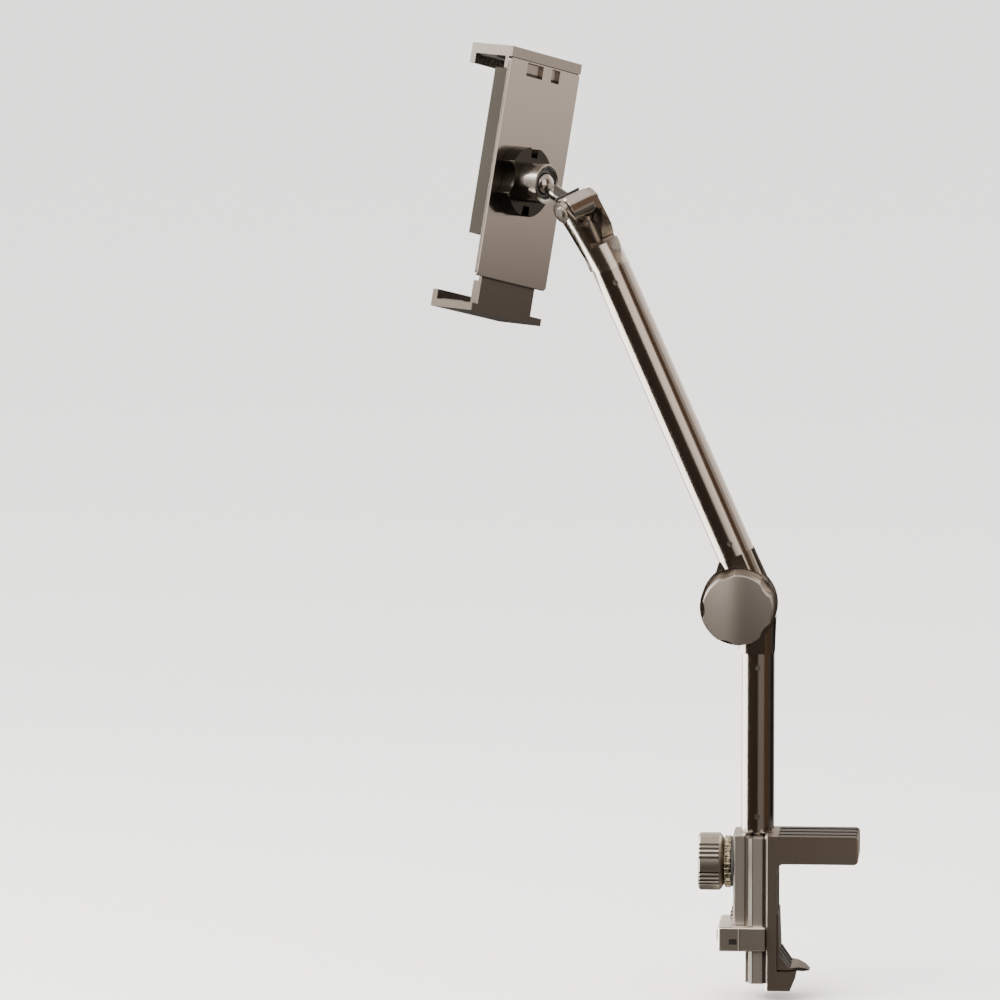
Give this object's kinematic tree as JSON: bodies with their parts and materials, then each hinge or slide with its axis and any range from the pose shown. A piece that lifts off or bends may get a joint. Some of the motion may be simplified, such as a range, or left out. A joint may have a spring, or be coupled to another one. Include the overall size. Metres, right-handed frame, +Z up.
{
  "type": "clamp tablet arm mount",
  "caption": "Two-section arm with a table clamp, a locking elbow, a tilting ball head and a sprung-style two-jaw tablet holder.",
  "frame": {"origin": "centre of the upper jaw's underside, where it rests on a table top", "axes": "+Z up, +X from the column along the upper jaw to its tip, +Y towards the side the holder's plate turns away from"},
  "size_m": [0.3089, 0.1455, 0.6745],
  "materials": {
    "clamp_metal": "satin anodised",
    "column_metal": "satin anodised",
    "latch_metal": "satin",
    "jaw_rubber": "matte",
    "screw_steel": "bright",
    "gear_steel": "machined",
    "brass": "mottled satin",
    "bush_bronze": "satin",
    "washer_black": "matte",
    "knob_metal": "satin anodised",
    "insert_steel": "satin",
    "tube_metal": "glossy anodised",
    "joint_metal": "glossy anodised",
    "head_metal": "polished",
    "seat_plastic": "matte",
    "nut_metal": "satin anodised",
    "plate_metal": "satin anodised",
    "case_metal": "satin anodised",
    "grip_rubber": "matte"
  },
  "bodies": {
    "clamp": {"clamp_frame": "clamp_metal", "upper_jaw_pad": "jaw_rubber", "screw_column": "column_metal", "gear_cover": "column_metal", "retaining_band": "column_metal", "band_latch": "latch_metal", "cover_screws": "screw_steel", "shaft_bush": "bush_bronze", "knob_washer": "washer_black"},
    "side_knob": {"clamp_knob": "knob_metal", "drive_shaft": "screw_steel", "drive_bevel": "gear_steel", "lock_ring": "brass"},
    "screw": {"screw_bevel": "gear_steel", "lead_screw": "screw_steel"},
    "carriage": {"lower_jaw": "clamp_metal", "drive_nut": "brass", "lower_jaw_ribs": "jaw_rubber"},
    "lower_arm": {"swivel_post": "joint_metal", "lower_tube": "tube_metal", "lower_set_screws": "screw_steel", "lower_fork": "joint_metal", "friction_washers": "washer_black", "elbow_rear_cap": "insert_steel"},
    "elbow_lock": {"elbow_bolt": "insert_steel", "elbow_knob": "knob_metal", "knob_insert": "insert_steel"},
    "upper_arm": {"elbow_tongue": "joint_metal", "upper_tube": "tube_metal", "upper_set_screws": "screw_steel", "end_fork": "joint_metal", "hinge_pin": "screw_steel", "tension_screw": "screw_steel", "fork_trim": "washer_black"},
    "stem": {"knuckle": "head_metal", "knuckle_plate": "washer_black", "ball_stem": "head_metal"},
    "seat": {"ball_seat": "seat_plastic"},
    "ring": {"seat_ring": "washer_black"},
    "holder": {"socket_boss": "head_metal", "back_plate": "plate_metal", "inner_case": "case_metal", "top_jaw": "plate_metal", "top_grip_pad": "grip_rubber"},
    "clamp_nut": {"lobed_nut": "nut_metal", "socket_cap": "head_metal"},
    "sliding_jaw": {"bottom_jaw": "plate_metal", "bottom_grip_pad": "grip_rubber"}
  },
  "joints": [
    {"name": "knob_turn", "type": "hinge", "parent": "clamp", "child": "side_knob", "pos_m": [-0.0768, 0, -0.0015], "axis": [1, 0, 0], "range_deg": [0, 1188.1]},
    {"name": "screw_turn", "type": "hinge", "parent": "clamp", "child": "screw", "pos_m": [-0.0438, 0, -0.045], "axis": [0, 0, 1], "range_deg": [-1188.1, 0]},
    {"name": "jaw_slide", "type": "slide", "parent": "clamp", "child": "carriage", "axis": [0, 0, 1], "range_m": [0, 0.033]},
    {"name": "base_swivel", "type": "hinge", "parent": "clamp", "child": "lower_arm", "pos_m": [-0.0438, 0, 0.02], "axis": [0, 0, 1], "continuous": true},
    {"name": "elbow_bend", "type": "hinge", "parent": "lower_arm", "child": "upper_arm", "pos_m": [-0.0578, 0, 0.1845], "axis": [0, 1, 0], "range_deg": [-105, 23]},
    {"name": "elbow_knob_turn", "type": "hinge", "parent": "lower_arm", "child": "elbow_lock", "pos_m": [-0.0578, -0.022, 0.1845], "axis": [0, 1, 0], "continuous": true},
    {"name": "knuckle_tilt", "type": "hinge", "parent": "upper_arm", "child": "stem", "pos_m": [-0.17588, 0, 0.46991], "axis": [0.7216, 0.6157, 0.3167], "range_deg": [-35, 120]},
    {"name": "ball_tilt", "type": "hinge", "parent": "stem", "child": "seat", "pos_m": [-0.2006, 0.02177, 0.48392], "axis": [0.5423, 0.8095, -0.225], "range_deg": [-8, 52]},
    {"name": "ball_pan", "type": "hinge", "parent": "seat", "child": "ring", "pos_m": [-0.2006, 0.02177, 0.48392], "axis": [0.1465, 0.1725, 0.974], "range_deg": [-20, 20]},
    {"name": "ball_spin", "type": "hinge", "parent": "ring", "child": "holder", "pos_m": [-0.2006, 0.02177, 0.48392], "axis": [0.8273, -0.5612, -0.025], "continuous": true},
    {"name": "nut_turn", "type": "hinge", "parent": "holder", "child": "clamp_nut", "pos_m": [-0.21301, 0.03019, 0.4843], "axis": [0.8273, -0.5612, -0.025], "continuous": true},
    {"name": "grip_slide", "type": "slide", "parent": "holder", "child": "sliding_jaw", "axis": [0.1465, 0.1725, 0.974], "range_m": [-0.06, 0.014]}
  ],
  "couplings": [
    {"joint": "knob_turn", "follows": "jaw_slide", "rad_per_m": 628.32},
    {"joint": "screw_turn", "follows": "jaw_slide", "rad_per_m": -628.32}
  ]
}
